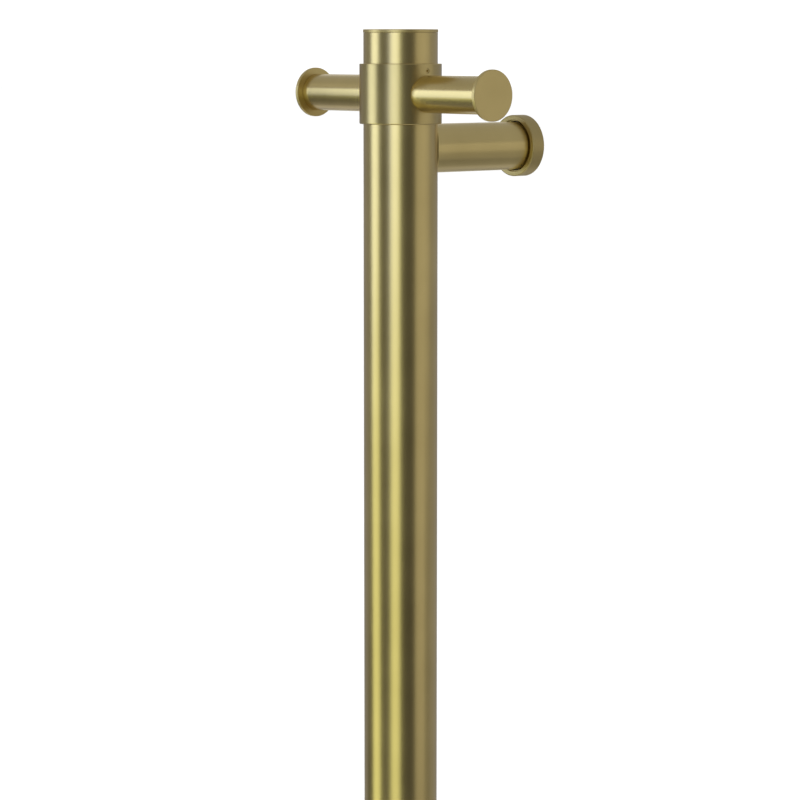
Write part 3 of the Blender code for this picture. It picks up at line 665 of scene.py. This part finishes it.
def make_cover(label):
    """The ring over the boss, with a stepped mouth, a groove for its O-ring and a cavity behind."""
    radius = max(across(f"{label}_cover_ring", axis) for axis in (X_AXIS, Z_AXIS))
    height = mounting_height(label)
    profile = [
        (COVER_MOUTH_RADIUS, COVER_DEPTH, EASED),
        (radius, COVER_DEPTH, COVER_FACE_EDGE),
        (radius, GAP, CRISP),
        (COVER_CAVITY_RADIUS, GAP, CRISP),
        (COVER_CAVITY_RADIUS, COVER_CAVITY_DEPTH),
        (COVER_BORE, COVER_CAVITY_DEPTH),
        (COVER_BORE, COVER_GROOVE_FROM),
        (COVER_GROOVE_RADIUS, COVER_GROOVE_FROM),
        (COVER_GROOVE_RADIUS, COVER_GROOVE_TO),
        (COVER_BORE, COVER_GROOVE_TO),
        (COVER_BORE, COVER_DEPTH - COVER_MOUTH_DEPTH, COVER_BORE_EDGE),
        (COVER_MOUTH_RADIUS, COVER_DEPTH - COVER_MOUTH_DEPTH),
    ]
    cover = turned(f"{label}_cover_ring_fine", profile, STEPS_SMALL, ring=True)
    place(cover, Vector((0, 0, height)), FROM_WALL)
    stands_for(cover, f"{label}_cover_ring", f"{label}_cover", COVER_BRASS_PAINTED_SHADE)


# ---------------------------------------------------------------- small screws


def make_set_screw(node, body, direction, across_corners, material=BLACK_STEEL):
    """A set screw with rounded rims and a hexagon socket. direction points out of its hole."""
    low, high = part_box(node)
    direction = Vector(direction)
    length = abs((high - low).dot(direction))
    radius = widest_across(low, high, direction)
    profile = [
        (0, length / 2),
        (radius, length / 2, SCREW_RIM),
        (radius, -length / 2, SCREW_RIM),
        (0, -length / 2),
    ]
    screw = turned(f"{node}_fine", profile, STEPS_SCREW)
    bpy.ops.mesh.primitive_cylinder_add(
        vertices=6,
        radius=across_corners / 2,
        depth=length,
        location=(0, 0, length / 2),
    )
    socket = bpy.context.object
    cut = screw.modifiers.new("Socket", "BOOLEAN")
    cut.operation = "DIFFERENCE"
    cut.solver = "EXACT"
    cut.object = socket
    applied(screw)
    bpy.data.objects.remove(socket, do_unlink=True)
    screw.data.shade_smooth()
    screw.data.set_sharp_from_angle(angle=SHARP_SCREW)
    turn = Vector((0, 0, 1)).rotation_difference(direction).to_euler()
    place(screw, middle_of(node), turn)
    stands_for(screw, node, body, material)


def widest_across(low, high, direction):
    """The larger half side of a box across a direction that runs along an axis."""
    size = high - low
    return max(size[axis] / 2 for axis in range(3) if abs(direction[axis]) < 0.5)


# ---------------------------------------------------------------- inner pieces


def finish_cad_nodes():
    """Gives each CAD node that stays visible its slot's material and smooth round faces."""
    slots = {entry["node"]: entry["material_slot"] for entry in frame["record"]["subparts"]}
    for name, node in frame["nodes"].items():
        node.data.materials.clear()
        node.data.materials.append(NODE_MATERIALS[slots[name]])
        node.data.shade_smooth()
        node.data.set_sharp_from_angle(angle=SHARP_CAD)


# ---------------------------------------------------------------- studio


def around_rail(turn, distance, height):
    """A point about the rail's axis, at a height over its top.

    turn is in degrees from the camera's side, to its right.
    """
    angle = CAMERA_AZIMUTH + math.radians(turn)
    flat = Vector((math.sin(angle), -math.cos(angle), 0)) * distance
    return RAIL_AXIS + flat + Vector((0, 0, RAIL_TOP + height))


def soft_box(name, turn, distance, low, high, width, radiance, lean=0.0):
    """A softbox beside the rail, unseen by the camera. low and high are heights over the rail's top.

    lean, in degrees, takes its lower end to the right.
    """
    light = bpy.data.lights.new(name, "AREA")
    light.shape = "RECTANGLE"
    light.size = width
    light.size_y = high - low
    brightest = max(radiance)
    light.energy = brightest * math.pi * light.size * light.size_y
    light.color = [channel / brightest for channel in radiance]
    obj = bpy.data.objects.new(name, light)
    bpy.context.scene.collection.objects.link(obj)
    obj.location = around_rail(turn, distance, (low + high) / 2)
    facing = around_rail(turn, 0, (low + high) / 2) - obj.location
    leaning = Quaternion((0, 0, 1), math.radians(lean))
    obj.rotation_euler = (facing.to_track_quat("-Z", "Y") @ leaning).to_euler()
    obj.visible_camera = False


# The two tall softboxes that give the light bands: a warm glow and, over its upper half, a cool crown
STRIP_DISTANCE = 1.3
CROWN_DISTANCE = 1.28
STRIP_WIDTH = 0.67
CROWN_AHEAD = 4
STRIP_TOP = 0.42
STRIP_MIDDLE = -0.28
STRIP_GLOW = (1.17, 1.28, 0.84)
STRIP_CROWN = (0.46, 0.58, 1.45)


def make_strip(name, turn, lean, low):
    """A tall softbox, with a cooler one in front of its upper half."""
    crown_turn = turn - CROWN_AHEAD
    middle = STRIP_MIDDLE
    high = STRIP_TOP
    soft_box(f"{name}_glow", turn, STRIP_DISTANCE, low, high, STRIP_WIDTH, STRIP_GLOW, lean)
    soft_box(f"{name}_crown", crown_turn, CROWN_DISTANCE, middle, high, STRIP_WIDTH, STRIP_CROWN, lean)


# Each strip's name, turn, lean and lower end, in degrees and metres
STRIPS = (
    ("strip_far_left", -84.4, 11, -1.15),
    ("strip_near_left", -16.6, 1, -1.0),
)

# The plain softboxes: name, turn, distance, low, high, width and radiance, in degrees and metres
FILLS = (
    ("strip_behind", 180, 1.6, -1.45, 0.6, 0.5, (0.42, 0.42, 0.37)),
    ("fill_right", 63.3, 1.6, -1.0, 0.35, 0.99, (0.50, 0.49, 0.46)),
    ("fill_far_right", 91, 1.6, -0.44, 0.35, 0.66, (0.45, 0.44, 0.42)),
    ("fill_low_right", 91, 1.6, -1.3, -0.44, 0.66, (0.22, 0.215, 0.205)),
    ("glow_front_left", -50, 1.8, -1.1, 0.42, 0.8, (0.035, 0.035, 0.037)),
    ("glow_left", -121, 1.8, -0.8, 1.0, 0.75, (0.15, 0.15, 0.16)),
    ("glow_behind_right", 135, 1.8, -1.4, 1.0, 2.1, (0.27, 0.27, 0.30)),
    ("glow_behind_left", -152, 1.8, -1.4, 1.0, 1.5, (0.22, 0.22, 0.25)),
    ("glow_below", 180, 1.8, -2.6, -1.2, 3.0, (0.25, 0.25, 0.27)),
)


def make_lights():
    for strip in STRIPS:
        make_strip(*strip)
    for fill in FILLS:
        soft_box(*fill)


# The room in the metal's reflections: tones below, at the floor, along the walls and at the ceiling
ROOM_BELOW = 0.8
ROOM_FLOOR = 0.27
ROOM_WALL = 0.065
ROOM_CEILING = 0.42

# Elevation in degrees, and the room's tone there
ROOM_STOPS = (
    (-80, ROOM_BELOW),
    (-66, ROOM_BELOW),
    (-52, ROOM_FLOOR),
    (-18, ROOM_WALL),
    (5, ROOM_WALL),
    (22, ROOM_CEILING),
)

# How bright the white paper behind the object is
PAPER = 1.15


def make_world():
    """White for the camera and for matt surfaces, and a dim room in the metal's reflections."""
    world = bpy.data.worlds.new("studio")
    bpy.context.scene.world = world
    world.use_nodes = True
    tree = world.node_tree
    direction = tree.nodes.new("ShaderNodeTexCoord")
    split = tree.nodes.new("ShaderNodeSeparateXYZ")
    level = tree.nodes.new("ShaderNodeMapRange")
    level.inputs["From Min"].default_value = -1
    tones = tree.nodes.new("ShaderNodeValToRGB")
    tones.color_ramp.interpolation = "EASE"
    while len(tones.color_ramp.elements) < len(ROOM_STOPS):
        tones.color_ramp.elements.new(0.5)
    for element, (elevation, tone) in zip(tones.color_ramp.elements, ROOM_STOPS):
        element.position = (1 + math.sin(math.radians(elevation))) / 2
        element.color = (tone, tone, tone, 1)
    world.cycles.sampling_method = "NONE"
    room = tree.nodes["Background"]
    tree.links.new(direction.outputs["Generated"], split.inputs["Vector"])
    tree.links.new(split.outputs["Z"], level.inputs["Value"])
    tree.links.new(level.outputs["Result"], tones.inputs["Fac"])
    tree.links.new(tones.outputs["Color"], room.inputs["Color"])
    paper = tree.nodes.new("ShaderNodeBackground")
    paper.inputs["Color"].default_value = (1, 1, 1, 1)
    paper.inputs["Strength"].default_value = PAPER
    path = tree.nodes.new("ShaderNodeLightPath")
    either = tree.nodes.new("ShaderNodeMath")
    either.operation = "MAXIMUM"
    mix = tree.nodes.new("ShaderNodeMixShader")
    tree.links.new(path.outputs["Is Camera Ray"], either.inputs[0])
    tree.links.new(path.outputs["Is Diffuse Ray"], either.inputs[1])
    tree.links.new(either.outputs["Value"], mix.inputs["Fac"])
    tree.links.new(room.outputs["Background"], mix.inputs[1])
    tree.links.new(paper.outputs["Background"], mix.inputs[2])
    tree.links.new(mix.outputs["Shader"], tree.nodes["World Output"].inputs["Surface"])


def make_floor():
    """A pale matt floor below the rail, which the metal doesn't reflect."""
    level = RAIL_BOTTOM - FLOOR_BELOW_RAIL
    bpy.ops.mesh.primitive_plane_add(size=FLOOR_SIZE, location=(0, 0, level))
    floor = bpy.context.object
    floor.name = "studio_floor"
    nodes = Nodes("floor_paint")
    tone = nodes.noise([FLOOR_CLOUDS] * 3)
    nodes.colour(tone, (0.93, 0.93, 0.93), (0.96, 0.96, 0.96))
    nodes.set(roughness=0.9)
    floor.data.materials.append(nodes.material)
    floor.visible_glossy = False


def make_camera():
    data = bpy.data.cameras.new("camera")
    data.lens = CAMERA_LENS
    data.sensor_width = SENSOR
    data.clip_start = 0.05
    data.clip_end = 100
    camera = bpy.data.objects.new("camera", data)
    bpy.context.scene.collection.objects.link(camera)
    rightward = Vector((math.cos(CAMERA_AZIMUTH), math.sin(CAMERA_AZIMUTH), 0))
    camera.location = around_rail(0, CAMERA_DISTANCE, -CAMERA_BELOW_TOP) - rightward * CAMERA_ASIDE
    camera.rotation_euler = (math.pi / 2 - CAMERA_PITCH, 0, CAMERA_AZIMUTH)
    bpy.context.scene.camera = camera


make_camera()
make_world()
make_lights()
make_floor()
finish_cad_nodes()
make_rail()
make_cap("top", RAIL_TOP, UPRIGHT)
make_cap("bottom", RAIL_BOTTOM, UPSIDE_DOWN)
make_collar()
make_liner()
make_arm("right", TO_RIGHT)
make_arm("left", TO_LEFT)
for label in ("upper", "lower"):
    make_post(label)
    make_boss(label)
    make_cover(label)
    make_set_screw(f"{label}_grub_screw", "root", (0, 0, -1), GRUB_SOCKET)
make_set_screw("hook_lock_screw", "hook", (1, 0, 0), LOCK_SCREW_SOCKET, COLLAR_BRASS_PAINTED_SHADE)
bpy.context.scene.view_settings.view_transform = "Standard"
